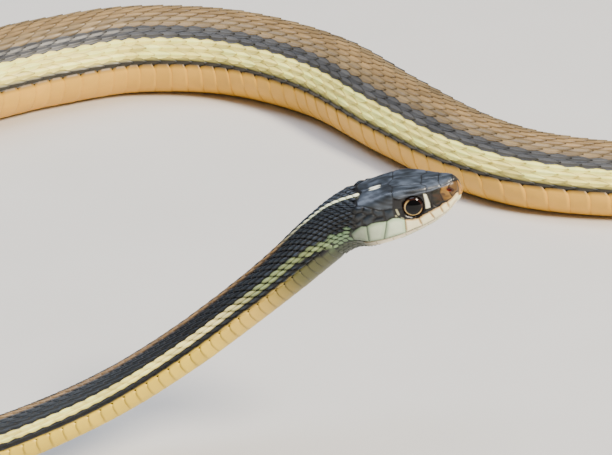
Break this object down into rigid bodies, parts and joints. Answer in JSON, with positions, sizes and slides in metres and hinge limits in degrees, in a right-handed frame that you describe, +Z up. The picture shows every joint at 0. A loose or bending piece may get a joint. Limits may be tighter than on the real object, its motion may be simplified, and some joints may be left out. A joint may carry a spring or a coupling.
{
  "type": "garter snake",
  "caption": "Life-size still model of a slim striped garter snake, lying in wide bends on the floor with its neck and head raised.",
  "frame": {"origin": "the middle of the snake's box, on the floor that it lies on", "axes": "+X the way the snout points and the longest side, +Y from the raised neck to the far side of the bend, +Z up"},
  "size_m": [0.2957, 0.1904, 0.0492],
  "materials": {
    "head_skin": "smooth slate-black head plates with pale cream lip plates, slightly glossy",
    "jaw_skin": "smooth pale cream chin and lip plates",
    "body_skin": "keeled black and brown scales with pale yellow stripes and a pale yellow belly, satin",
    "eye": "clear glossy cap over a black pupil with a thin gold ring"
  },
  "bodies": {
    "root": {"head": "head_skin", "lower_jaw": "jaw_skin", "eye_left": "eye", "eye_right": "eye", "neck": "body_skin", "forebody_1": "body_skin", "forebody_2": "body_skin", "midbody_1": "body_skin", "midbody_2": "body_skin", "midbody_3": "body_skin", "hindbody_1": "body_skin", "hindbody_2": "body_skin", "tail_1": "body_skin", "tail_2": "body_skin", "tail_3": "body_skin"}
  },
  "joints": []
}
